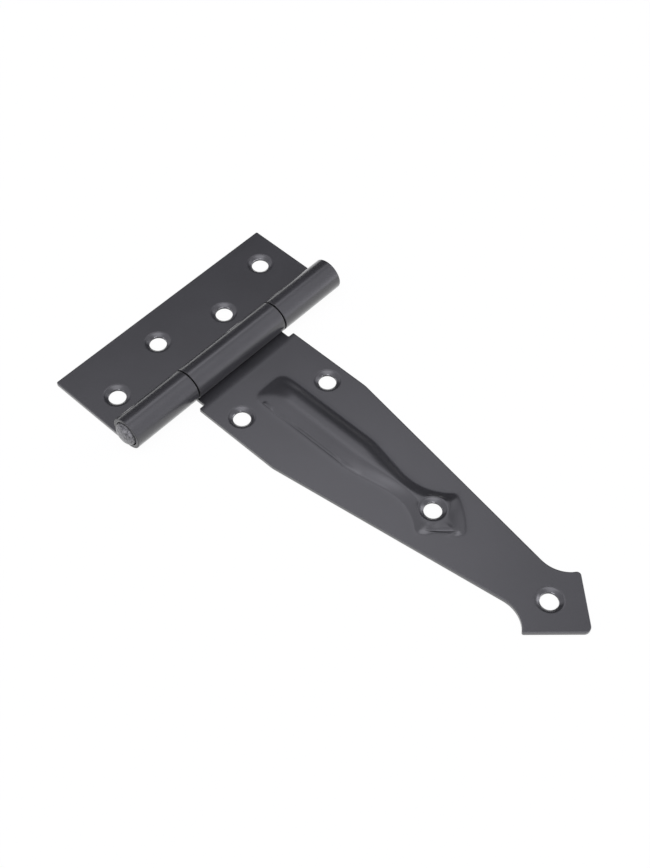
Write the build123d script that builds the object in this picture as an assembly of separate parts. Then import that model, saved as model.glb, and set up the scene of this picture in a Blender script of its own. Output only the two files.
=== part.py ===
from build123d import *
import math
import os

os.makedirs("parts", exist_ok=True)

# Sheet and pin, in millimetres
sheet_thickness = 1.5
pin_diameter = 8.0
running_clearance = 0.05
knuckle_gap = 0.3
roll_end_gap = 0.15

# Barrel
barrel_length = 90.0
middle_knuckle_width = 38.0
pin_stand_out = 0.1
pin_dome_rise = 1.7

# Screw holes
hole_diameter = 5.6
countersink_diameter = 8.0
countersink_angle = 90.0

# Jamb leaf
leaf_reach = 33.2
leaf_window_reach = 7.0
leaf_hole_spacing = 23.5
leaf_outer_row_reach = 22.0
leaf_inner_row_reach = 15.5
leaf_corner_radius = 0.5

# Strap outline, reaches measured from the pin axis
shoulder_reach = 6.9
shoulder_width = 42.4
shoulder_corner_radius = 0.6
bend_reach = 38.4
bend_radius = 8.0
tip_reach = 142.9
tip_radius = 1.2
arrow_length = 14.4
barb_width = 27.4
barb_radius = 0.6
neck_length = 10.5
neck_width = 17.8

# Strap holes
upper_hole_reach = 28.3
lower_hole_reach = 18.8
pair_hole_offset = 14.4
rib_hole_setback = 12.3
tip_hole_setback = 15.1

# Pressed rib, drawn as a small copy of the strap
rib_start_reach = 16.2
rib_width = 13.0
rib_corner_radius = 2.6
rib_bend_reach = 55.0
rib_bend_radius = 25.0
rib_flare_reach = 68.0
rib_flare_width = 7.5
rib_tip_reach = 96.5
rib_tip_radius = 2.0
rib_arrow_length = 10.9
rib_arrow_bow = 0.8
rib_barb_width = 18.6
rib_barb_radius = 1.5
rib_wall_angle = 35.0
rib_height = 1.9
rib_edge_height = 0.6
rib_rise_length = 7.5
rib_level_reach = 60.0
rib_head_reach = 79.0
rib_head_height = 1.1
rib_head_fall_length = 5.2
rib_crest_lift = 0.3

# Sizes that follow
pin_radius = pin_diameter / 2
barrel_radius = pin_radius + sheet_thickness
strap_bore_radius = pin_radius + running_clearance
hole_radius = hole_diameter / 2
countersink_radius = countersink_diameter / 2
countersink_depth = (countersink_radius - hole_radius) / math.tan(math.radians(countersink_angle / 2))
window_width = middle_knuckle_width + 2 * knuckle_gap
barb_reach = tip_reach - arrow_length
neck_reach = barb_reach - neck_length
tip_hole_reach = tip_reach - tip_hole_setback
rib_barb_reach = rib_tip_reach - rib_arrow_length
rib_head_fall_reach = rib_tip_reach - rib_head_fall_length
rib_hole_reach = rib_tip_reach - rib_hole_setback
far = 4 * tip_reach


def roll_stop_angle():
    """Angle below the axis where the rolled sheet ends just above the flat."""
    drop = barrel_radius - sheet_thickness - roll_end_gap
    return math.degrees(math.asin(drop / barrel_radius))


def rolled_knuckle(bore_radius, side, length):
    """Sheet rolled round the pin, leaving the flat on the given side (1 or -1) of the axis."""
    stop = roll_stop_angle()
    outer_end = barrel_radius * 2
    with BuildPart() as roll:
        with BuildSketch(Plane.XZ):
            with Locations((0, barrel_radius)):
                Circle(barrel_radius)
                Circle(bore_radius, mode=Mode.SUBTRACT)
            with BuildLine():
                low = (0, barrel_radius - outer_end)
                reach = outer_end * math.cos(math.radians(stop))
                end = (side * reach, barrel_radius - outer_end * math.sin(math.radians(stop)))
                Polyline((0, barrel_radius), low, (end[0], low[1]), end, close=True)
            make_face(mode=Mode.SUBTRACT)
        extrude(amount=length / 2, both=True)
    return roll.part


def strip(reach, width, side):
    """Flat strip from under the pin axis out to a reach."""
    return Pos(side * reach / 2, 0, sheet_thickness / 2) * Box(reach, width, sheet_thickness)


def cut_holes(body, places, front):
    """Body with countersunk screw holes taken out, the sinks starting at the front height."""
    cone_height = countersink_depth + rib_height
    top_radius = hole_radius + cone_height * math.tan(math.radians(countersink_angle / 2))
    for x, y in places:
        body = body - Pos(x, y, 0) * Cylinder(hole_radius, far)
        cone_middle = front - countersink_depth + cone_height / 2
        body = body - Pos(x, y, cone_middle) * Cone(hole_radius, top_radius, cone_height)
    return body


def leaf_hole_places():
    """Zigzag of four holes along the jamb leaf."""
    outer = -leaf_outer_row_reach
    inner = -leaf_inner_row_reach
    step = leaf_hole_spacing
    return [(outer, 1.5 * step), (inner, step / 2), (outer, -step / 2), (inner, -1.5 * step)]


def jamb_leaf():
    """Rectangular leaf with its two outer rolled knuckles."""
    plate = strip(leaf_reach, barrel_length, -1)
    corners = plate.edges().filter_by(Axis.Z).sort_by(Axis.X)[:2]
    plate = fillet(corners, leaf_corner_radius)
    body = plate + rolled_knuckle(pin_radius, -1, barrel_length)
    window_reach = leaf_window_reach + 2 * barrel_radius
    window = Box(window_reach, window_width, far)
    body = body - Pos(window_reach / 2 - leaf_window_reach, 0, 0) * window
    return cut_holes(body, leaf_hole_places(), sheet_thickness)


def strap_outline():
    """Face of the flat strap: parallel sides, long taper, narrow neck and arrow tip."""
    bend = (bend_reach, -shoulder_width / 2)
    neck = (neck_reach, -neck_width / 2)
    barb = (barb_reach, -barb_width / 2)
    run = (neck[0] - bend[0], neck[1] - bend[1])
    with BuildSketch() as face:
        with BuildLine():
            Line((shoulder_reach, 0), (shoulder_reach, bend[1]))
            Line((shoulder_reach, bend[1]), bend)
            Line(bend, neck)
            TangentArc(neck, barb, tangent=run)
            Line(barb, (tip_reach, 0))
            Line((tip_reach, 0), (shoulder_reach, 0))
        make_face()
        mirror(about=Plane.XZ)
        corners = face.vertices()
        fillet(corners.group_by(Axis.X)[0], shoulder_corner_radius)
        fillet(face.vertices().filter_by_position(Axis.X, bend_reach - 1e-3, bend_reach + 1e-3), bend_radius)
        fillet(face.vertices().filter_by_position(Axis.X, barb_reach - 1e-3, barb_reach + 1e-3), barb_radius)
        fillet(face.vertices().group_by(Axis.X)[-1], tip_radius)
    return face.sketch


def rib_outline(inset):
    """Foot of the pressed rib, drawn in by the inset."""
    bend = (rib_bend_reach, -rib_width / 2)
    flare = (rib_flare_reach, -rib_flare_width / 2)
    barb = (rib_barb_reach, -rib_barb_width / 2)
    run = (flare[0] - bend[0], flare[1] - bend[1])
    with BuildSketch() as face:
        with BuildLine():
            Line((rib_start_reach, 0), (rib_start_reach, bend[1]))
            Line((rib_start_reach, bend[1]), bend)
            Line(bend, flare)
            TangentArc(flare, barb, tangent=run)
            SagittaArc(barb, (rib_tip_reach, 0), -rib_arrow_bow)
            Line((rib_tip_reach, 0), (rib_start_reach, 0))
        make_face()
        mirror(about=Plane.XZ)
        fillet(face.vertices().group_by(Axis.X)[0], rib_corner_radius)
        fillet(face.vertices().filter_by_position(Axis.X, bend[0] - 1e-3, bend[0] + 1e-3), rib_bend_radius)
        fillet(face.vertices().filter_by_position(Axis.X, barb[0] - 1e-3, barb[0] + 1e-3), rib_barb_radius)
        fillet(face.vertices().group_by(Axis.X)[-1], rib_tip_radius)
        if inset > 0:
            offset(amount=-inset, mode=Mode.REPLACE)
    return face.sketch


def rib_vault(drop):
    """Arched roof of the rib, lowered by the drop; low at both ends and over the arrowhead."""
    base = -far
    edge = rib_width / 2
    floor = sheet_thickness - drop
    rise = rib_height - rib_edge_height
    round_radius = (edge ** 2 + rise ** 2) / (2 * rise)
    tall = floor + rib_height
    head = floor + rib_head_height
    low = floor + rib_edge_height
    over = tall + rib_crest_lift
    top_start = (rib_start_reach + rib_rise_length, over)
    top_end = (rib_level_reach, over)
    with BuildPart() as roof:
        with BuildSketch(Plane.YZ):
            with Locations((0, tall - round_radius)):
                Circle(round_radius)
        extrude(amount=2 * tip_reach)
    with BuildPart() as side:
        with BuildSketch(Plane.XZ):
            with BuildLine():
                mid = ((rib_level_reach + rib_head_reach) / 2, (over + head) / 2)
                Line((rib_start_reach, base), (rib_start_reach, low))
                TangentArc(top_start, (rib_start_reach, low), tangent=(-1, 0))
                Line(top_start, top_end)
                TangentArc(top_end, mid, tangent=(1, 0))
                TangentArc((rib_head_reach, head), mid, tangent=(-1, 0))
                Line((rib_head_reach, head), (rib_head_fall_reach, head))
                TangentArc((rib_head_fall_reach, head), (rib_tip_reach, floor + rib_edge_height / 2), tangent=(1, 0))
                Line((rib_tip_reach, floor + rib_edge_height / 2), (rib_tip_reach, base))
                Line((rib_tip_reach, base), (rib_start_reach, base))
            make_face()
        extrude(amount=far, both=True)
    return roof.part & side.part


def rib_block(drop, inset):
    """Solid of the rib between a sloped foot and the arched roof."""
    foot = sheet_thickness - drop
    with BuildPart() as walls:
        with BuildSketch(Plane.XY.offset(foot)):
            add(rib_outline(inset))
        extrude(amount=rib_height, dir=(0, 0, 1), taper=90 - rib_wall_angle)
    return walls.part & rib_vault(drop)


def strap_hole_places():
    """Two staggered holes near the barrel and one at the arrow tip."""
    return [(upper_hole_reach, pair_hole_offset), (lower_hole_reach, -pair_hole_offset), (tip_hole_reach, 0)]


def strap_leaf():
    """Ornamental strap with the middle rolled knuckle, the hollow pressed rib and four holes."""
    plate = extrude(strap_outline(), amount=sheet_thickness)
    tongue = strip(shoulder_reach + 1, middle_knuckle_width, 1)
    body = plate + tongue + rolled_knuckle(strap_bore_radius, 1, middle_knuckle_width)
    hollow_inset = sheet_thickness * math.tan(math.radians(rib_wall_angle / 2))
    body = body + rib_block(0, 0)
    body = body - rib_block(sheet_thickness, hollow_inset)
    body = cut_holes(body, strap_hole_places(), sheet_thickness)
    return cut_holes(body, [(rib_hole_reach, 0)], sheet_thickness + rib_head_height)


def hinge_pin():
    """Round pin with domed ends that stand a little out of the barrel."""
    shaft = barrel_length / 2 + pin_stand_out
    apex = shaft + pin_dome_rise
    across, up = dome_point(shaft)
    with BuildPart() as pin:
        with BuildSketch(Plane.YZ):
            with BuildLine():
                Line((-apex, 0), (apex, 0))
                ThreePointArc((apex, 0), (across, up), (shaft, pin_radius))
                Line((shaft, pin_radius), (-shaft, pin_radius))
                ThreePointArc((-shaft, pin_radius), (-across, up), (-apex, 0))
            make_face()
        revolve(axis=Axis.Y)
    return Pos(0, 0, barrel_radius) * pin.part


def dome_point(shaft):
    """Point on the dome of the pin end half way between its apex and its rim."""
    ball = (pin_radius ** 2 + pin_dome_rise ** 2) / (2 * pin_dome_rise)
    turn = math.asin(pin_radius / ball) / 2
    return (shaft + pin_dome_rise - ball + ball * math.cos(turn), ball * math.sin(turn))


export_step(jamb_leaf(), "parts/jamb_leaf.step")
export_step(strap_leaf(), "parts/strap_leaf.step")
export_step(hinge_pin(), "parts/hinge_pin.step")
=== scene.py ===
import math
import bpy
import numpy as np
from mathutils import Matrix, Vector
from mathutils.geometry import delaunay_2d_cdt


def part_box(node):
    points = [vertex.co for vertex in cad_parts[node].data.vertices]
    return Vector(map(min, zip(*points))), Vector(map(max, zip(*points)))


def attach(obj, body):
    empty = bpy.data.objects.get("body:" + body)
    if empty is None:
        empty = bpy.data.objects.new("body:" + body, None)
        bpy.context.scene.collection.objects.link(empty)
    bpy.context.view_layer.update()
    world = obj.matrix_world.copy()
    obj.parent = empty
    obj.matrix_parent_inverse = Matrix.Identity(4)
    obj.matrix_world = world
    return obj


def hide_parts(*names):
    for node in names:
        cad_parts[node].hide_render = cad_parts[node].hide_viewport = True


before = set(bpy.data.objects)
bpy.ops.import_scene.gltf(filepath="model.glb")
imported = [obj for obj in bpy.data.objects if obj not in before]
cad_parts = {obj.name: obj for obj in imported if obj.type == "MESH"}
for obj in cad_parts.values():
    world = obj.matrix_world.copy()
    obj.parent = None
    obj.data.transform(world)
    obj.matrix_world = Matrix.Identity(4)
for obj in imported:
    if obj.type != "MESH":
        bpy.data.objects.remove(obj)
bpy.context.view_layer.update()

# Sizes in millimetres, in the frame's own axes: X along the strap, Y along the barrel, Z out of the front
mm = 0.001
leaf_low, leaf_high = [Vector(corner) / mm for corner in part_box("jamb_leaf")]
strap_low, strap_high = [Vector(corner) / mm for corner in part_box("strap_leaf")]
pin_high = Vector(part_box("hinge_pin")[1]) / mm

sheet_thickness = 1.5
barrel_radius = leaf_high.x
barrel_length = 2 * leaf_high.y
pin_radius = barrel_radius - sheet_thickness
running_clearance = 0.05
knuckle_gap = 0.5
roll_end_gap = 0.15
middle_knuckle_width = 38.0
knuckle_bore_radius = 4.3
pin_slack = 0.3
pin_dome_sink = 0.4
pin_dome_fullness = 2.4
roll_ease_length = 2.0

# Sheared edges: an edge value of 1 is a pale edge, partly wear and partly painted highlight; above 1 shows
# worn steel; below 0 is dull and darkened with painted shade
front_roll_over = 0.3
back_roll_over = 0.16
roll_over_steps = 4
support_width = 0.16
# Painted highlight on the front roll-over of a rolled tab's edge
rolled_edge_painted_highlight = (0.0, 0.5, 1.0, 0.3)
# Painted shade on the side and back of a rolled tab's edge, which shows at the knuckle ends
roll_end_painted_shade = -0.4

# Countersunk holes
hole_radius = 2.8
countersink_radius = 4.0
countersink_depth = 0.85
lip_softness = 0.5
lip_fall_width = 0.35
neck_softness = 0.22
neck_drop = 0.1
hole_back_softness = 0.1
lip_steps = 6
neck_steps = 4
hole_back_steps = 3
worn_neck = 2.0
neck_wear = (0.0, 1.0, 1.0, 0.5, 0.0)
# Painted shade down the bore and round the back of each hole
bore_painted_shade = -1.0
hole_segments = 72
hole_support_radius = countersink_radius + lip_softness + 3 * support_width
hole_clear_reach = countersink_radius + lip_softness + 5 * support_width

# Jamb leaf
leaf_reach = -leaf_low.x
leaf_window_reach = 7.0
leaf_hole_spacing = 23.5
leaf_outer_row_reach = 22.0
leaf_inner_row_reach = 15.5
leaf_corner_radius = 0.5

# Strap outline
shoulder_reach = 6.9
shoulder_width = strap_high.y - strap_low.y
shoulder_corner_radius = 0.4
notch_radius = 0.4
bend_reach = 38.4
bend_radius = 8.0
tip_reach = 142.9
tip_radius = 2.0
arrow_length = 14.4
barb_reach = tip_reach - arrow_length
barb_width = 27.4
upper_barb_radius = 1.3
lower_barb_radius = 0.6
neck_length = 10.5
neck_reach = barb_reach - neck_length
neck_width = 17.8
pair_hole_offset = 14.4
upper_hole = (28.3, pair_hole_offset)
lower_hole = (18.8, -pair_hole_offset)
tip_hole_setback = 15.1
tip_hole = (tip_reach - tip_hole_setback, 0.0)

# Pressed rib
rib_start_reach = 16.2
rib_end_length = 7.5
rib_squareness = 6.0
rib_width = 13.0
rib_bend_reach = 55.0
rib_bend_radius = 25.0
rib_flare_reach = 68.0
rib_flare_width = 7.5
rib_tip_reach = 96.5
rib_tip_radius = 2.0
rib_arrow_length = 10.9
rib_barb_reach = rib_tip_reach - rib_arrow_length
rib_barb_width = 18.6
rib_barb_radius = 1.5
rib_arrow_bow = 0.8
rib_hole_setback = 12.3
rib_hole = (rib_tip_reach - rib_hole_setback, 0.0)
rib_hole_flat_radius = 4.6
rib_hole_blend_radius = 5.5

# Height of the pressed rib
rib_height = 1.7
rib_head_height = 1.1
rib_fall_start = 60.0
rib_head_reach = 79.0
rib_blend_start = 62.0
rib_shoulder_reaches = (0.0, 2.2, 3.3, 5.0)
rib_shoulder_slopes = (0.42, 0.42, 0.1, 0.0)
rib_end_slope_width = 9.5
rib_head_slope_width = 2.9
rib_tip_slope_width = 5.2
rib_head_fullness = 1.25
rib_tip_fullness = 2.0
tip_slope_delay = 0.7
tip_slope_blend = 3.0
near_side_blend = 1.5
relief_step = 0.25
relief_softness = 0.4
relief_margin = 2.5
least_depth = 0.01
foot_step_width = 0.2
foot_step_fade = (0.3, 1.6)
body_step_reaches = (19.4, 20.4, 23.2, 24.2, 29.0, 36.0, 50.0, 60.0)
body_step_heights = (0.0, 0.34, 0.34, 0.18, 0.3, 0.5, 0.5, 0.0)
head_step_height = 0.86
head_step_depth = 1.15
head_step_width = 0.2
head_shoulder_width = 1.9
head_step_start = (86.4, 89.8)
head_step_end = (92.4, 95.2)
head_row_insets = (1.0, 1.08, 1.15, 1.19, 1.23, 1.27, 1.31, 1.39, 1.5)
head_row_reach = 84.5

# Mesh fineness
flat_step = 1.4
rib_step = 0.36
roll_step = 0.45
barrel_step = 1.4 * flat_step
rib_edge_step = 0.45
rib_start_steps = 30
flare_steps = 14
arrow_bow_steps = 7
shoulder_samples = 101
rib_ring_insets = (-0.74, -0.5, -0.3, -0.12, 0.0, 0.06, 0.12, 0.18, 0.24, 0.3, 0.37, 0.5, 0.7, 0.95)
edge_clearance = front_roll_over + support_width + 0.25
rib_foot_clearance = 0.7 * flat_step
head_row_clearance = 0.15
head_row_slack = 0.03
barb_clear_share = 1.5
round_turn = math.radians(12)
fewest_round_steps = 3
straight_turn = 1e-6
least_run = 1e-12
sharpest_lean = 0.6
same_place = 1e-7
pin_head_rows = 24
pin_segments = 96
pin_shank_step = 0.25
merge_distance = 0.001 * mm

# Coats: grain sizes are repeats in a metre, and colours are linear
cloud_scale = 55.0
peel_scale = 900.0
grain_scale = 4200.0
mottle_scale = 1400.0
mottle_grain_scale = 5200.0
dark_share = 0.88
light_share = 1.12
edge_share = 1.6
leaf_tint = (0.017, 0.017, 0.019)
strap_tint = (0.018, 0.018, 0.020)
leaf_roughness = 0.36
strap_roughness = 0.34
worn_steel = (0.42, 0.42, 0.42, 1.0)
# Painted shade colour, laid on the dull places
painted_shade_black = (0.004, 0.004, 0.004, 1.0)
pin_dark = (0.015, 0.015, 0.016, 1.0)
pin_light = (0.19, 0.19, 0.19, 1.0)
coat_index = 1.5
coat_roughness = 0.2
# Share of the pale edge colour: partly edge wear, partly painted highlight
edge_paleness = 0.5
steel_shine = 0.7
cloud_roughness = 0.10
grain_roughness = 0.08
dull_roughness = 0.5
peel_strength = 0.18
peel_depth = 0.00004
pin_roughness = 0.34
mottle_roughness = 0.25
mottle_strength = 0.35
mottle_depth = 0.00006
pin_coat_share = 0.3
pin_coat_roughness = 0.22

# Studio
open_sky = 0.9
sky_tint = (0.985, 0.975, 1.06, 1.0)
table_reach = 2.0
table_drop = 0.0001
table_grey = (0.88, 0.88, 0.88, 1.0)
table_white = (1.0, 1.0, 1.0, 1.0)
table_white_share = 0.96


class Wire:
    """A socket that Python expressions can add, subtract, multiply and divide."""

    def __init__(self, tree, socket):
        self.tree = tree
        self.socket = socket

    def math(self, operation, *operands):
        """Wire that leaves a new Math node with these operands."""
        node = self.tree.nodes.new("ShaderNodeMath")
        node.operation = operation
        for place, operand in zip(node.inputs, operands):
            join(self.tree, operand, place)
        return Wire(self.tree, node.outputs[0])

    def __add__(self, other):
        return self.math("ADD", self, other)

    def __radd__(self, other):
        return self.math("ADD", other, self)

    def __sub__(self, other):
        return self.math("SUBTRACT", self, other)

    def __rsub__(self, other):
        return self.math("SUBTRACT", other, self)

    def __mul__(self, other):
        return self.math("MULTIPLY", self, other)

    def __rmul__(self, other):
        return self.math("MULTIPLY", other, self)

    def __truediv__(self, other):
        return self.math("DIVIDE", self, other)

    def __rtruediv__(self, other):
        return self.math("DIVIDE", other, self)

    def __neg__(self):
        return self.math("MULTIPLY", self, -1.0)

    def at_least(self, other):
        return self.math("MAXIMUM", self, other)

    def at_most(self, other):
        return self.math("MINIMUM", self, other)

    def sine(self):
        return self.math("SINE", self)

    def cosine(self):
        return self.math("COSINE", self)


def join(tree, value, socket):
    """Link a wire, or several, to a socket, or write a plain value on it."""
    if isinstance(value, list):
        for wire in value:
            join(tree, wire, socket)
    elif isinstance(value, Wire):
        tree.links.new(value.socket, socket)
    else:
        socket.default_value = value


class Bench:
    """A node tree that nodes are added to, one call each."""

    def __init__(self, tree):
        self.tree = tree

    def node(self, kind, settings=(), inputs=(), out=0):
        """Wire that leaves a new node, whose settings are made before its sockets are filled."""
        made = self.tree.nodes.new(kind)
        for name, value in dict(settings).items():
            setattr(made, name, value)
        for name, value in dict(inputs).items():
            join(self.tree, value, made.inputs[name])
        if not made.outputs:
            return None
        return Wire(self.tree, made.outputs[out])

    def ramp(self, value, low, high, from_value=0.0, to_value=1.0):
        """Value carried smoothly from one range to another, held at its ends."""
        ranges = {"Value": value, "From Min": low, "From Max": high, "To Min": from_value, "To Max": to_value}
        return self.node("ShaderNodeMapRange", {"interpolation_type": "SMOOTHSTEP", "clamp": True}, ranges)

    def noise(self, place, scale, detail, roughness):
        """Grainy value around a half."""
        sizes = {"Vector": place, "Scale": scale, "Detail": detail, "Roughness": roughness}
        return self.node("ShaderNodeTexNoise", {}, sizes, "Fac")

    def mix_colour(self, factor, first, second):
        """Colour between two, by a factor."""
        sockets = {0: factor, 6: first, 7: second}
        return self.node("ShaderNodeMix", {"data_type": "RGBA"}, sockets, 2)

    def parts(self, vector):
        """X, Y and Z of a vector."""
        return [self.node("ShaderNodeSeparateXYZ", {}, {"Vector": vector}, axis) for axis in "XYZ"]


def shown(name, data):
    """Object of a mesh or a camera, linked into the scene."""
    made = bpy.data.objects.new(name, data)
    bpy.context.scene.collection.objects.link(made)
    return made


def blank_material(name):
    """New material and the bench that fills its empty tree."""
    material = bpy.data.materials.new(name)
    material.use_nodes = True
    material.node_tree.nodes.clear()
    return material, Bench(material.node_tree)


def smooth(value):
    """Soft step from 0 to 1."""
    held = np.clip(value, 0.0, 1.0)
    return held * held * (3 - 2 * held)


def rounded_path(corners, step):
    """Closed path through (x, y, radius) corners, with short steps along straights and rounds."""
    points = [np.array(corner[:2], float) for corner in corners]
    keys = []
    for index, corner in enumerate(corners):
        here = points[index]
        into = here - points[index - 1]
        away = points[(index + 1) % len(points)] - here
        into = into / np.linalg.norm(into)
        away = away / np.linalg.norm(away)
        keys.extend(corner_round(here, into, away, corner[2]))
    path = []
    for index, key in enumerate(keys):
        following = keys[(index + 1) % len(keys)]
        parts = max(1, math.ceil(np.linalg.norm(following - key) / step))
        path.extend(key + (following - key) * part / parts for part in range(parts))
    return np.array(path)


def corner_round(here, into, away, radius):
    """Points of the arc that rounds one corner."""
    turn = math.atan2(into[0] * away[1] - into[1] * away[0], into @ away)
    if radius == 0 or abs(turn) < straight_turn:
        return [here]
    back = radius * math.tan(abs(turn) / 2)
    start = here - into * back
    side = np.array([-into[1], into[0]]) * math.copysign(radius, turn)
    steps = max(fewest_round_steps, math.ceil(abs(turn) / round_turn))
    angles = [abs(turn) * step / steps for step in range(steps + 1)]
    return [start + into * radius * math.sin(angle) + side * (1 - math.cos(angle)) for angle in angles]


def flare(start, run, end, steps):
    """Points of the arc that leaves start along run and curves out to end, without end itself."""
    along = np.array(run, float) / np.linalg.norm(run)
    chord = np.array(end, float) - np.array(start, float)
    cross = along[0] * chord[1] - along[1] * chord[0]
    across = np.array([-along[1], along[0]]) * math.copysign(1, cross)
    radius = chord @ chord / (2 * abs(cross))
    whole = 2 * math.atan2(abs(cross), along @ chord)
    angles = [whole * step / steps for step in range(steps)]
    return [np.array(start) + radius * (math.sin(a) * along + (1 - math.cos(a)) * across) for a in angles]


def bowed(start, end, bow, steps):
    """Points between start and end on a side that bows out to the left of its run."""
    first, last = np.array(start, float), np.array(end, float)
    run = last - first
    left = np.array([-run[1], run[0]]) / np.linalg.norm(run)
    shares = [step / steps for step in range(1, steps)]
    return [first + run * share + left * bow * 4 * share * (1 - share) for share in shares]


def both_sides(upper, lower, middle, step):
    """Closed path from two half outlines, both given with y above zero, and their middle corner."""
    mirrored = [(x, -y, radius) for x, y, radius in lower]
    return rounded_path(mirrored + [middle] + upper[::-1], step)


def arrow_half(bend, bend_round, neck, barb, barb_round):
    """Half outline from a bend down a taper and out round the neck to the barb, clear of its rounding."""
    run = (neck[0] - bend[0], neck[1] - bend[1])
    clear = barb_clear_share * barb_round
    curve = [(x, y, 0) for x, y in flare(neck, run, barb, flare_steps) if math.dist((x, y), barb) > clear]
    return [(*bend, bend_round)] + curve + [(*barb, barb_round)]


def roll_length():
    """Length of sheet that wraps round the pin."""
    three_quarters = 1.5 * math.pi
    turn = three_quarters + math.asin((pin_radius - roll_end_gap) / barrel_radius)
    return turn * barrel_radius


def strap_outline():
    """Outline of the strap before it is rolled."""
    tongue = middle_knuckle_width / 2
    side = shoulder_width / 2
    half = [(-roll_length(), tongue, notch_radius), (shoulder_reach, tongue, notch_radius)]
    half += [(shoulder_reach, side, shoulder_corner_radius)]
    bend = (bend_reach, side)
    neck = (neck_reach, neck_width / 2)
    barb = (barb_reach, barb_width / 2)
    upper = half + arrow_half(bend, bend_radius, neck, barb, upper_barb_radius)
    lower = half + arrow_half(bend, bend_radius, neck, barb, lower_barb_radius)
    return both_sides(upper, lower, (tip_reach, 0, tip_radius), roll_step)


def leaf_outline():
    """Outline of the jamb leaf before its two tabs are rolled."""
    side = barrel_length / 2
    window = middle_knuckle_width / 2 + knuckle_gap
    end = roll_length()
    lower = [(-leaf_reach, -side, leaf_corner_radius), (end, -side, notch_radius)]
    lower += [(end, -window, notch_radius), (-leaf_window_reach, -window, notch_radius)]
    upper = [(x, -y, radius) for x, y, radius in lower[::-1]]
    return rounded_path(lower + upper, roll_step)


def rib_outline():
    """Foot of the pressed rib: a small copy of the strap with a squared start."""
    side = rib_width / 2
    start = []
    for step in range(rib_start_steps + 1):
        angle = math.pi / 2 * step / rib_start_steps
        size = (math.cos(angle) ** rib_squareness + math.sin(angle) ** rib_squareness) ** (1 / rib_squareness)
        x = rib_start_reach + rib_end_length * (1 - math.cos(angle) / size)
        start.append((x, side * math.sin(angle) / size, 0))
    bend = (rib_bend_reach, side)
    neck = (rib_flare_reach, rib_flare_width / 2)
    barb = (rib_barb_reach, rib_barb_width / 2)
    half = start[1:] + arrow_half(bend, rib_bend_radius, neck, barb, rib_barb_radius)
    half += [(x, y, 0) for x, y in bowed(barb, (rib_tip_reach, 0), rib_arrow_bow, arrow_bow_steps)]
    lower = [(x, -y, radius) for x, y, radius in half]
    tip = (rib_tip_reach, 0, rib_tip_radius)
    return rounded_path([start[0]] + lower + [tip] + half[::-1], rib_edge_step)


def inward(path):
    """Inward direction at each point of a closed path that runs anticlockwise, longer at corners."""
    ahead = np.roll(path, -1, axis=0) - path
    ahead /= np.linalg.norm(ahead, axis=1)[:, None]
    left = np.stack([-ahead[:, 1], ahead[:, 0]], axis=1)
    mean = left + np.roll(left, 1, axis=0)
    mean /= np.linalg.norm(mean, axis=1)[:, None]
    share = np.maximum((mean * left).sum(axis=1), sharpest_lean)
    return mean / share[:, None]


def circle(centre, radius):
    """Closed ring of points, anticlockwise."""
    angles = np.arange(hole_segments) * 2 * math.pi / hole_segments
    return np.array(centre) + radius * np.stack([np.cos(angles), np.sin(angles)], axis=1)


def distance_to(points, path):
    """Distance from each point to a closed path."""
    nearest = np.full(len(points), np.inf)
    for start, end in zip(path, np.roll(path, -1, axis=0)):
        run = end - start
        share = np.clip((points - start) @ run / max(run @ run, least_run), 0, 1)
        gap = points - start - share[:, None] * run
        nearest = np.minimum(nearest, (gap * gap).sum(axis=1))
    return np.sqrt(nearest)


def inside(points, path):
    """True for each point inside a closed path."""
    hits = np.zeros(len(points), bool)
    x, y = points[:, 0], points[:, 1]
    for (ax, ay), (bx, by) in zip(path, np.roll(path, -1, axis=0)):
        if ay == by:
            continue
        crossing = (ay > y) != (by > y)
        hits ^= crossing & (x < ax + (y - ay) * (bx - ax) / (by - ay))
    return hits


rib_path = rib_outline()
rib_side = rib_path[(rib_path[:, 1] > 0) & (rib_path[:, 0] > rib_start_reach + rib_end_length)]
rib_side = rib_side[np.argsort(rib_side[:, 0])]


def dome(share):
    """Rounded rise from the foot, share 0, to the crown, share 1."""
    return 1 - (1 - np.clip(share, 0, 1)) ** 2


def rib_relief(points):
    """Height of the pressed rib without its steep steps, before its edges are softened."""
    x, y = points[:, 0], np.abs(points[:, 1])
    width = np.interp(x, rib_side[:, 0], rib_side[:, 1])
    fall = smooth((x - rib_fall_start) / (rib_head_reach - rib_fall_start))
    crown = rib_height + (rib_head_height - rib_height) * fall
    depth = distance_to(points, rib_path) * np.where(inside(points, rib_path), 1, 0)
    from_end = x - rib_start_reach
    nearest = np.maximum(np.minimum(width - y, from_end), least_depth)
    corner = np.clip(depth / nearest, 0, 1)
    widest = rib_shoulder_reaches[-1]
    far_side = shoulder((width - y) * widest / np.minimum(widest, width))
    near_side = dome((width - y) / width)
    side = np.where(points[:, 1] > 0, far_side, near_side)
    body = side * dome(from_end / rib_end_slope_width) * corner
    toward_tip = smooth((x - rib_barb_reach - tip_slope_delay) / tip_slope_blend)
    gentle = np.maximum(toward_tip, smooth(-points[:, 1] / near_side_blend))
    slope_width = rib_head_slope_width + (rib_tip_slope_width - rib_head_slope_width) * gentle
    fullness = rib_head_fullness + (rib_tip_fullness - rib_head_fullness) * gentle
    head = 1 - (1 - np.clip(depth / slope_width, 0, 1)) ** fullness
    blend = smooth((x - rib_blend_start) / (rib_head_reach - rib_blend_start))
    return crown * (body * (1 - blend) + head * blend)


def shoulder(depth):
    """Share of the crown's height that the rib's side has reached at a depth inside its foot."""
    reaches = np.linspace(0, rib_shoulder_reaches[-1], shoulder_samples)
    slopes = np.interp(reaches, rib_shoulder_reaches, rib_shoulder_slopes)
    rises = np.cumsum(slopes) - slopes[0]
    return np.interp(depth, reaches, rises / rises[-1])


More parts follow.
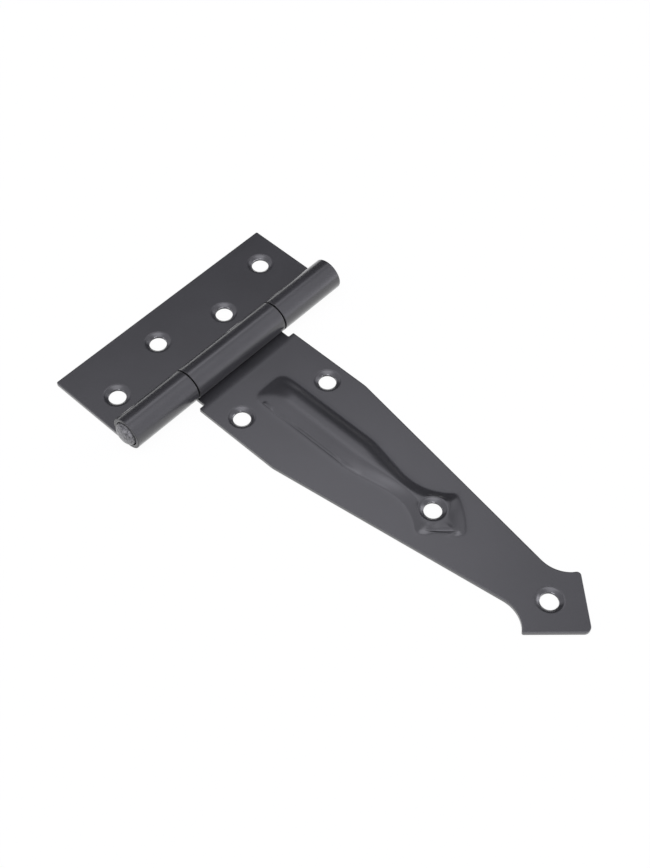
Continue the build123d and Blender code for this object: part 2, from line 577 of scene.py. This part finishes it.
def softened(heights, spread):
    """Grid of heights with its edges rounded."""
    reach = math.ceil(3 * spread)
    shares = np.exp(-0.5 * (np.arange(-reach, reach + 1) / spread) ** 2)
    shares = shares / shares.sum()
    for axis in (0, 1):
        heights = np.apply_along_axis(np.convolve, axis, heights, shares, "same")
    return heights


def relief_grid():
    """Low corner and softened heights of the rib on a regular grid."""
    low = rib_path.min(axis=0) - relief_margin
    high = rib_path.max(axis=0) + relief_margin
    xs = np.arange(low[0], high[0], relief_step)
    ys = np.arange(low[1], high[1], relief_step)
    points = np.array([(x, y) for x in xs for y in ys])
    heights = rib_relief(points).reshape(len(xs), len(ys))
    return low, softened(heights, relief_softness / relief_step)


relief_low, relief_heights = relief_grid()


def relief_at(points):
    """Height read from the grid between its four nearest values."""
    place = (points - relief_low) / relief_step
    last = np.array(relief_heights.shape) - 2
    cell = np.clip(np.floor(place).astype(int), 0, last)
    part = np.clip(place - cell, 0, 1)
    column, row = cell[:, 0], cell[:, 1]
    along, across = part[:, 0], part[:, 1]
    near = relief_heights[column, row] * (1 - along) + relief_heights[column + 1, row] * along
    far = relief_heights[column, row + 1] * (1 - along) + relief_heights[column + 1, row + 1] * along
    return near * (1 - across) + far * across


def rib_rise(points):
    """Height of the pressed rib over each point of the sheet."""
    x, y = points[:, 0], points[:, 1]
    depth = distance_to(points, rib_path) * np.where(inside(points, rib_path), 1, -1)
    near_side = smooth(-y / near_side_blend)
    base = relief_at(points)
    stepped = head_with_step(depth)
    here = near_side * smooth((x - head_step_start[0]) / (head_step_start[1] - head_step_start[0]))
    here = here * (1 - smooth((x - head_step_end[0]) / (head_step_end[1] - head_step_end[0])))
    height = base * (1 - here) + stepped * here + foot_step(x, depth) * near_side
    from_hole = np.hypot(x - rib_hole[0], y - rib_hole[1])
    flat = smooth((rib_hole_blend_radius - from_hole) / (rib_hole_blend_radius - rib_hole_flat_radius))
    return height * (1 - flat) + rib_head_height * flat


def foot_step(x, depth):
    """Steep step at the foot of the rib's near side, which fades into the shoulder."""
    step = np.interp(x, body_step_reaches, body_step_heights)
    fade = 1 - smooth((depth - foot_step_fade[0]) / (foot_step_fade[1] - foot_step_fade[0]))
    return step * np.clip(depth / foot_step_width, 0, 1) * fade


def head_with_step(depth):
    """Height of the arrowhead's near side: flat, then a steep step, then a round shoulder."""
    past = depth - head_step_depth
    step = head_step_height * np.clip(past / head_step_width, 0, 1)
    return step + (rib_head_height - head_step_height) * dome(past / head_shoulder_width)


def no_rise(points):
    """Height of a sheet with nothing pressed in it."""
    return np.zeros(len(points))


def grid(low, high, step_x, step_y):
    """Rows of points between two corners."""
    xs = np.arange(low[0], high[0], step_x)
    ys = np.linspace(low[1], high[1], max(2, round((high[1] - low[1]) / step_y) + 1))
    return np.array([(x, y) for x in xs for y in ys])


def filling(outline, holes, rolled, rib):
    """Loose points that fill a sheet: rows along each roll, a flat grid, and a fine grid in the rib."""
    parts = [grid(low, high, roll_step, barrel_step) for low, high in rolled]
    flat = grid(outline.min(axis=0), outline.max(axis=0), flat_step, flat_step)
    for low, high in rolled:
        flat = flat[~((flat[:, 0] > low[0]) & (flat[:, 0] < high[0]))]
    if rib:
        flat = flat[~inside(flat, rib_path)]
        flat = flat[distance_to(flat, rib_path) > rib_foot_clearance]
        fine = grid(rib_path.min(axis=0), rib_path.max(axis=0), rib_step, rib_step)
        fine = fine[inside(fine, rib_path)]
        depth = distance_to(fine, rib_path)
        in_head = fine[:, 0] > head_row_reach
        past_first_row = depth > head_row_insets[0] - head_row_clearance
        before_last_row = depth < head_row_insets[-1] + head_row_clearance
        in_rows = in_head & past_first_row & before_last_row
        parts.append(fine[(depth > rib_ring_insets[-1] + rib_step / 2) & ~in_rows])
        parts.append(head_rows())
    parts.append(flat)
    points = np.concatenate(parts)
    points = points[inside(points, outline)]
    points = points[distance_to(points, outline) > edge_clearance]
    for hole in holes:
        points = points[np.hypot(*(points - np.array(hole)).T) > hole_clear_reach]
    return points


def head_rows():
    """Rows of points that follow the steep step in the rib's arrowhead."""
    lean = inward(rib_path)
    rows = []
    for inset in head_row_insets:
        row = rib_path + lean * inset
        row = row[row[:, 0] > head_row_reach]
        row = row[inside(row, rib_path)]
        rows.append(row[distance_to(row, rib_path) > inset - head_row_slack])
    return np.concatenate(rows)


def sheet_face(outline, holes, inset, opening, rolled, rib):
    """Points and triangles of one face of a sheet, open at its holes."""
    lean = inward(outline)
    edge = outline + lean * inset
    loops = [edge, outline + lean * (inset + support_width)]
    for hole in holes:
        rings = (opening, opening + support_width, hole_support_radius)
        loops += [circle(hole, ring) for ring in rings]
    if rib:
        rib_lean = inward(rib_path)
        loops += [rib_path + rib_lean * ring for ring in rib_ring_insets]
    loose = filling(outline, holes, rolled, rib)
    corners, links = [], []
    for loop in loops:
        first = len(corners)
        count = len(loop)
        corners.extend(loop.tolist())
        links.extend((first + i, first + (i + 1) % count) for i in range(count))
    corners.extend(loose.tolist())
    made = delaunay_2d_cdt([Vector(corner) for corner in corners], links, [], 0, same_place)
    points = np.array([tuple(corner) for corner in made[0]])
    triangles = np.array(made[2])
    middles = points[triangles].mean(axis=1)
    keep = inside(middles, edge)
    for hole in holes:
        keep &= np.hypot(*(middles - np.array(hole)).T) > opening
    return points, triangles[beside_edge(triangles, made[3], len(edge), keep)]


def beside_edge(triangles, sources, count, keep):
    """Which triangles to keep, with those on the outer edge judged by the way they run along it."""
    place = {source: index for index, group in enumerate(sources) for source in group}
    ring = [place[source] for source in range(count)]
    along = {(ring[i], ring[(i + 1) % count]) for i in range(count)}
    for index, (a, b, c) in enumerate(triangles.tolist()):
        sides = ((a, b), (b, c), (c, a))
        if any(side in along for side in sides):
            keep[index] = True
        elif any(side[::-1] in along for side in sides):
            keep[index] = False
    return keep


def soft_corner(before, corner, after, steps):
    """Points of a small curve that rounds a profile's corner."""
    shares = np.linspace(0, 1, steps + 1)[:, None]
    first, middle, last = np.array(before), np.array(corner), np.array(after)
    return (1 - shares) ** 2 * first + 2 * shares * (1 - shares) * middle + shares ** 2 * last


def rim_profile():
    """Section of a sheared edge, front to back, as (inset, height, pale edge that is partly wear and partly
    painted highlight, painted highlight and painted shade on a rolled tab).
    """
    top, roll, back = sheet_thickness, front_roll_over, back_roll_over
    front = soft_corner((roll, top), (0, top), (0, top - roll), roll_over_steps)
    rear = soft_corner((0, back), (0, 0), (back, 0), roll_over_steps)
    section = np.concatenate([front, rear])
    # Pale sheared edges: partly wear, partly painted highlight
    wear_and_light = np.clip((section[:, 0].max() - section[:, 0]) / section[:, 0].max(), 0, 1)
    # Rolled tabs: painted highlight on the front roll-over, painted shade below it
    dull_and_shade = [roll_end_painted_shade] * (len(section) - len(rolled_edge_painted_highlight))
    rolled = np.array([*rolled_edge_painted_highlight, *dull_and_shade])
    return np.column_stack([section, wear_and_light, rolled])


def lining_profile():
    """Section of a countersunk hole as (radius, height, wear at the neck and painted shade down the bore),
    from the front down to the back.
    """
    top, bore, wide = sheet_thickness, hole_radius, countersink_radius
    low = top - countersink_depth
    slope = countersink_depth / (wide - bore)
    lip_end = (wide - lip_fall_width, top - lip_fall_width * slope)
    lip = soft_corner((wide + lip_softness, top), (wide, top), lip_end, lip_steps)
    neck_start = (bore + neck_softness, low + neck_softness * slope)
    neck = soft_corner(neck_start, (bore, low), (bore, low - neck_drop), neck_steps)
    back_end = (bore + hole_back_softness, 0)
    back = soft_corner((bore, hole_back_softness), (bore, 0), back_end, hole_back_steps)
    # Worn steel at the neck, painted shade down the bore
    wear = [np.zeros(len(lip)), worn_neck * np.array(neck_wear), np.full(len(back), bore_painted_shade)]
    return np.column_stack([np.concatenate([lip, neck, back]), np.concatenate(wear)])


def ring_faces(first, rings, count):
    """Four-sided faces between rings of points, the first ring starting at a given point."""
    faces = []
    for ring in range(rings - 1):
        upper = first + ring * count
        lower = upper + count
        for i in range(count):
            j = (i + 1) % count
            faces.append([upper + i, lower + i, lower + j, upper + j])
    return faces


def mesh_of(name, points, faces, wear_and_light=None):
    """Smooth-shaded object from points in millimetres, with its edge wear, painted edge highlights and
    painted shade.
    """
    mesh = bpy.data.meshes.new(name)
    mesh.from_pydata((np.asarray(points) * mm).tolist(), [], [list(map(int, face)) for face in faces])
    for polygon in mesh.polygons:
        polygon.use_smooth = True
    layer = mesh.attributes.new("bare_edge", "FLOAT", "POINT")
    layer.data.foreach_set("value", np.zeros(len(points)) if wear_and_light is None else np.asarray(wear_and_light, float))
    return shown(name, mesh)


def flat_sheet(name, outline, holes, rise, rolled, rib):
    """Closed flat sheet apart from its open holes, with its rib pressed in."""
    points, faces, wear_and_light = [], [], []
    first = 0
    front = (front_roll_over, countersink_radius + lip_softness, sheet_thickness, 1)
    back = (back_roll_over, hole_radius + hole_back_softness, 0.0, -1)
    for inset, opening, height, turn in (front, back):
        spots, triangles = sheet_face(outline, holes, inset, opening, rolled, rib)
        points.append(np.column_stack([spots, rise(spots) + height]))
        faces.extend((triangles[:, ::turn] + first).tolist())
        wear_and_light.append(np.zeros(len(spots)))
        first += len(spots)
    lean = inward(outline)
    section = rim_profile()
    count = len(outline)
    on_roll = np.zeros(count, bool)
    for low, high in rolled:
        on_roll |= (outline[:, 0] >= low[0]) & (outline[:, 0] <= high[0])
    # Flat edges get a pale edge, partly wear and partly painted highlight; rolled tabs get painted highlight
    # and painted shade
    for inset, height, worn, roll_light_and_shade in section:
        points.append(np.column_stack([outline + lean * inset, np.full(count, height)]))
        wear_and_light.append(np.where(on_roll, roll_light_and_shade, worn))
    faces += ring_faces(first, len(section), count)
    return mesh_of(name, np.concatenate(points), faces, np.concatenate(wear_and_light))


def hole_lining():
    """Wall of one countersunk hole, open above and below."""
    section = lining_profile()
    points = [np.column_stack([circle((0, 0), row[0]), np.full(hole_segments, row[1])]) for row in section]
    wear = np.repeat(section[:, 2], hole_segments)
    faces = [(a, d, c, b) for a, b, c, d in ring_faces(0, len(section), hole_segments)]
    return mesh_of("hole_lining", np.concatenate(points), faces, wear)


def rolling_tree():
    """Tree that lines the holes of a flat sheet and rolls its tabs round the pin."""
    tree = bpy.data.node_groups.new("punched_and_rolled_sheet", "GeometryNodeTree")
    face = tree.interface
    face.new_socket("Sheet", in_out="INPUT", socket_type="NodeSocketGeometry")
    face.new_socket("Hole Places", in_out="INPUT", socket_type="NodeSocketObject")
    face.new_socket("Hole Lining", in_out="INPUT", socket_type="NodeSocketObject")
    for name in ("Barrel Radius", "Bore Radius", "Sheet Thickness", "Roll Side", "Ease Length"):
        face.new_socket(name, in_out="INPUT", socket_type="NodeSocketFloat")
    face.new_socket("Coat", in_out="INPUT", socket_type="NodeSocketMaterial")
    face.new_socket("Sheet", in_out="OUTPUT", socket_type="NodeSocketGeometry")
    bench = Bench(tree)
    entry = tree.nodes.new("NodeGroupInput")
    given = {socket.name: Wire(tree, socket) for socket in entry.outputs if socket.name}
    spots = bench.node("GeometryNodeObjectInfo", {}, {"Object": given["Hole Places"]}, "Geometry")
    lining = bench.node("GeometryNodeObjectInfo", {}, {"Object": given["Hole Lining"]}, "Geometry")
    marks = bench.node("GeometryNodeMeshToPoints", {}, {"Mesh": spots})
    walls = bench.node("GeometryNodeInstanceOnPoints", {}, {"Points": marks, "Instance": lining})
    walls = bench.node("GeometryNodeRealizeInstances", {}, {"Geometry": walls})
    whole = bench.node("GeometryNodeJoinGeometry", {}, {"Geometry": [given["Sheet"], walls]})
    whole = bench.node("GeometryNodeMergeByDistance", {}, {"Geometry": whole, "Distance": merge_distance})
    place = rolled_place(bench, given)
    whole = bench.node("GeometryNodeSetPosition", {}, {"Geometry": whole, "Position": place})
    whole = bench.node("GeometryNodeRealizeInstances", {}, {"Geometry": whole})
    whole = bench.node("GeometryNodeSetMaterial", {}, {"Geometry": whole, "Material": given["Coat"]})
    bench.node("NodeGroupOutput", {}, {"Sheet": whole})
    return tree


def rolled_place(bench, given):
    """Place of a sheet point once its tab is wound round the pin; flat points stay."""
    x, y, z = bench.parts(bench.node("GeometryNodeInputPosition"))
    radius, side = given["Barrel Radius"], given["Roll Side"]
    past = x * side
    turn = past.at_least(0.0) / radius
    thinning = (radius - given["Bore Radius"]) / given["Sheet Thickness"]
    eased = bench.ramp(past, -given["Ease Length"], 0.0, 1.0, thinning)
    wound = radius - z * eased
    new_x = side * (past.at_most(0.0) + turn.sine() * wound)
    new_z = radius - turn.cosine() * wound
    return bench.node("ShaderNodeCombineXYZ", {}, {"X": new_x, "Y": y, "Z": new_z})


def finish_sheet(name, flat, tree, places, lining, bore, side, coat):
    """Plain mesh of a sheet after the tree has lined its holes and rolled its tabs."""
    marks = mesh_of(name + "_hole_marks", places, [])
    modifier = flat.modifiers.new("rolling", "NODES")
    modifier.node_group = tree
    values = {
        "Hole Places": marks,
        "Hole Lining": lining,
        "Barrel Radius": barrel_radius * mm,
        "Bore Radius": bore * mm,
        "Sheet Thickness": sheet_thickness * mm,
        "Roll Side": float(side),
        "Ease Length": roll_ease_length * mm,
        "Coat": coat,
    }
    for item in tree.interface.items_tree:
        if item.in_out == "INPUT" and item.name in values:
            modifier[item.identifier] = values[item.name]
    graph = bpy.context.evaluated_depsgraph_get()
    mesh = bpy.data.meshes.new_from_object(flat.evaluated_get(graph))
    flat.modifiers.remove(modifier)
    for spare in (flat, marks):
        bpy.data.objects.remove(spare)
    mesh.name = name
    return shown(name, mesh)


def leaf_hole_places():
    """Zigzag of four holes along the jamb leaf."""
    outer, inner, step = -leaf_outer_row_reach, -leaf_inner_row_reach, leaf_hole_spacing
    return [(outer, 1.5 * step), (inner, step / 2), (outer, -step / 2), (inner, -1.5 * step)]


def jamb_leaf(tree, lining, coat):
    """Leaf with its two outer knuckles."""
    holes = leaf_hole_places()
    side = barrel_length / 2
    rolled = [((-roll_step, -side), (roll_length(), side))]
    flat = flat_sheet("leaf_flat", leaf_outline(), holes, no_rise, rolled, False)
    places = [(x, y, 0.0) for x, y in holes]
    return finish_sheet("jamb_leaf_sheet", flat, tree, places, lining, knuckle_bore_radius, 1, coat)


def strap_leaf(tree, lining, coat):
    """Strap with its pressed rib and middle knuckle."""
    holes = [upper_hole, lower_hole, rib_hole, tip_hole]
    side = middle_knuckle_width / 2
    rolled = [((-roll_length(), -side), (roll_step, side))]
    flat = flat_sheet("strap_flat", strap_outline(), holes, rib_rise, rolled, True)
    places = [(x, y, rib_head_height if (x, y) == rib_hole else 0.0) for x, y in holes]
    bore = knuckle_bore_radius + running_clearance
    return finish_sheet("strap_leaf_sheet", flat, tree, places, lining, bore, -1, coat)


def turned(name, section, axis, segments, coat):
    """Closed solid turned about an axis along Y, from (along, radius) points that start and end on it."""
    angles = np.arange(segments) * 2 * math.pi / segments
    across, up = axis
    points = [(across, section[0][0], up)]
    for along, radius in section[1:-1]:
        points += [(across - radius * math.sin(a), along, up + radius * math.cos(a)) for a in angles]
    points.append((across, section[-1][0], up))
    last = len(points) - 1
    faces = [(0, 1 + i, 1 + (i + 1) % segments) for i in range(segments)]
    rings = len(section) - 2
    faces += ring_faces(1, rings, segments)
    start = 1 + (rings - 1) * segments
    faces += [(start + (i + 1) % segments, start + i, last) for i in range(segments)]
    made = mesh_of(name, points, faces)
    made.data.materials.append(coat)
    return made


def hinge_pin(coat):
    """Pin with rounded heads at both ends, leaning down and to the leaf's side in its bore."""
    shaft = barrel_length / 2 - pin_dome_sink
    head_radius = knuckle_bore_radius - pin_slack
    lean = pin_slack * math.sqrt(0.5)
    rise = pin_high.y - shaft
    head = []
    for row in range(pin_head_rows + 1):
        angle = math.pi / 2 * row / pin_head_rows
        out = head_radius * math.sin(angle) ** (2 / pin_dome_fullness)
        head.append((-(shaft + rise * abs(math.cos(angle)) ** (2 / pin_dome_fullness)), out))
    shank = [(-shaft + pin_shank_step, head_radius), (shaft - pin_shank_step, head_radius)]
    tail = [(-along, radius) for along, radius in head[::-1]]
    axis = (-lean, barrel_radius - lean)
    return turned("hinge_pin_turned", head + shank + tail, axis, pin_segments, coat)


def shaded(tint, share):
    """Tint made darker or lighter, as a whole colour."""
    return tuple(channel * share for channel in tint) + (1.0,)


def satin_coat(name, tint, roughness):
    """Smooth satin black coat over steel: slight cloudiness, fine orange peel, paler edges that are partly
    wear and partly painted highlight, worn steel, and dull places darkened with painted shade.
    """
    material, bench = blank_material(name)
    place = bench.node("ShaderNodeTexCoord", {}, {}, "Object")
    cloud = bench.noise(place, cloud_scale, 3.0, 0.55)
    peel = bench.noise(place, peel_scale, 2.0, 0.5)
    grain = bench.noise(place, grain_scale, 2.0, 0.6)
    wear_and_light = bench.node("ShaderNodeAttribute", {"attribute_name": "bare_edge"}, {}, "Fac")
    dark, light, edge = [shaded(tint, share) for share in (dark_share, light_share, edge_share)]
    shade = bench.ramp(cloud * 0.7 + grain * 0.3, 0.35, 0.65)
    colour = bench.mix_colour(shade, dark, light)
    # Paler edges: partly wear, partly painted highlight
    colour = bench.mix_colour(wear_and_light.at_least(0.0).at_most(1.0) * edge_paleness, colour, edge)
    worn = (wear_and_light - 1.0).at_least(0.0) * bench.ramp(peel, 0.5, 0.62)
    # Dull places: painted shade in their colour, no coat, and rougher
    dull_and_shade = (wear_and_light * -1.0).at_least(0.0).at_most(1.0)
    colour = bench.mix_colour(worn, colour, worn_steel)
    colour = bench.mix_colour(dull_and_shade, colour, painted_shade_black)
    rough = roughness + (cloud - 0.5) * cloud_roughness + (grain - 0.5) * grain_roughness
    rough = rough + dull_and_shade * dull_roughness
    relief = peel * 0.75 + grain * 0.25
    dents = {"Strength": peel_strength, "Distance": peel_depth, "Height": relief}
    bump = bench.node("ShaderNodeBump", {}, dents)
    sockets = {"Base Color": colour, "Roughness": rough, "Metallic": worn * steel_shine}
    sockets.update({"Normal": bump, "IOR": coat_index})
    sockets.update({"Coat Weight": 1.0 - dull_and_shade, "Coat Roughness": coat_roughness, "Coat IOR": coat_index})
    shader = bench.node("ShaderNodeBsdfPrincipled", {}, sockets)
    bench.node("ShaderNodeOutputMaterial", {}, {"Surface": shader})
    return material


def pin_coat():
    """Thin dull coat on the rod, mottled on its rounded heads."""
    material, bench = blank_material("pin_thin_coat")
    place = bench.node("ShaderNodeTexCoord", {}, {}, "Object")
    mottle = bench.noise(place, mottle_scale, 4.0, 0.65)
    grain = bench.noise(place, mottle_grain_scale, 2.0, 0.6)
    shade = bench.ramp(mottle * 0.6 + grain * 0.4, 0.38, 0.62)
    colour = bench.mix_colour(shade, pin_dark, pin_light)
    rough = pin_roughness + (mottle - 0.5) * mottle_roughness
    dents = {"Strength": mottle_strength, "Distance": mottle_depth, "Height": mottle}
    bump = bench.node("ShaderNodeBump", {}, dents)
    sockets = {"Base Color": colour, "Roughness": rough, "Normal": bump, "IOR": coat_index}
    sockets.update({"Coat Weight": pin_coat_share, "Coat Roughness": pin_coat_roughness})
    sockets["Coat IOR"] = coat_index
    shader = bench.node("ShaderNodeBsdfPrincipled", {}, sockets)
    bench.node("ShaderNodeOutputMaterial", {}, {"Surface": shader})
    return material


def white_floor():
    """White table that shows white to the camera and in reflections, and keeps a faint shadow."""
    signs = ((-1, -1), (1, -1), (1, 1), (-1, 1))
    corners = [(x * table_reach, y * table_reach, -table_drop) for x, y in signs]
    mesh = bpy.data.meshes.new("white_table")
    mesh.from_pydata(corners, [], [(0, 1, 2, 3)])
    floor = shown("white_table", mesh)
    material, bench = blank_material("white_table_top")
    seen = bench.node("ShaderNodeLightPath", {}, {}, "Is Camera Ray")
    mirrored = bench.node("ShaderNodeLightPath", {}, {}, "Is Glossy Ray")
    matt = bench.node("ShaderNodeBsdfDiffuse", {}, {"Color": table_grey})
    glow = bench.node("ShaderNodeEmission", {}, {"Color": table_white, "Strength": 1.0})
    share = seen.at_least(mirrored) * table_white_share
    blend = bench.node("ShaderNodeMixShader", {}, {0: share, 1: matt, 2: glow})
    bench.node("ShaderNodeOutputMaterial", {}, {"Surface": blend})
    mesh.materials.append(material)


def studio_sky():
    """Soft light all round, with the bright and dark patches that the coat reflects."""
    world = bpy.data.worlds.new("studio")
    world.use_nodes = True
    world.node_tree.nodes.clear()
    bench = Bench(world.node_tree)
    x, y, z = bench.parts(bench.node("ShaderNodeTexCoord", {}, {}, "Generated"))

    def spot(elevation, azimuth, outer, inner, around, middle):
        """Round patch of the sky between two angles from its middle, in degrees."""
        up, turn = math.radians(elevation), math.radians(azimuth)
        facing = x * (math.cos(up) * math.cos(turn)) + y * (math.cos(up) * math.sin(turn)) + z * math.sin(up)
        edges = math.cos(math.radians(outer)), math.cos(math.radians(inner))
        return bench.ramp(facing, *edges, around, middle)

    front = spot(elevation=0, azimuth=-66, outer=78, inner=41, around=0.0, middle=0.4)
    wall = spot(elevation=0, azimuth=56, outer=32, inner=15, around=0.0, middle=2.3)
    lamp = spot(elevation=72, azimuth=-42, outer=34, inner=15, around=0.0, middle=1.5)
    window = spot(elevation=59, azimuth=131, outer=11, inner=2, around=0.0, middle=1.1)
    shade = spot(elevation=58, azimuth=108, outer=14, inner=5, around=1.0, middle=0.7)
    corner = spot(elevation=15, azimuth=131, outer=43, inner=34, around=1.0, middle=0.1)
    strength = (front + wall + lamp + open_sky) * corner * shade + window
    light = bench.node("ShaderNodeBackground", {}, {"Color": sky_tint, "Strength": strength})
    bench.node("ShaderNodeOutputWorld", {}, {"Surface": light})
    bpy.context.scene.world = world


def camera():
    """Camera at the photograph's angle and field of view."""
    place = Vector((0.208263, -0.187314, 0.349294))
    aim = Vector((0.041224, -0.000643, 0.0))
    lean = math.radians(1.3034)
    data = bpy.data.cameras.new("camera")
    data.sensor_fit = "HORIZONTAL"
    data.sensor_width = 36.0
    data.lens = 77.038
    made = shown("camera", data)
    turn = (aim - place).to_track_quat("-Z", "Y").to_matrix() @ Matrix.Rotation(lean, 3, "Z")
    made.matrix_world = Matrix.Translation(place) @ turn.to_4x4()
    bpy.context.scene.camera = made


def place_piece(piece, node, body):
    """Put a finished piece in a node's stead."""
    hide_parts(node)
    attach(piece, body)


leaf_coat = satin_coat("leaf_satin_coat", leaf_tint, leaf_roughness)
strap_coat = satin_coat("strap_satin_coat", strap_tint, strap_roughness)
tree = rolling_tree()
lining = hole_lining()
leaf = jamb_leaf(tree, lining, leaf_coat)
strap = strap_leaf(tree, lining, strap_coat)
pin = hinge_pin(pin_coat())
bpy.data.objects.remove(lining)

place_piece(leaf, "jamb_leaf", "jamb")
place_piece(pin, "hinge_pin", "jamb")
place_piece(strap, "strap_leaf", "strap")

white_floor()
studio_sky()
camera()
bpy.context.scene.view_settings.view_transform = "Standard"
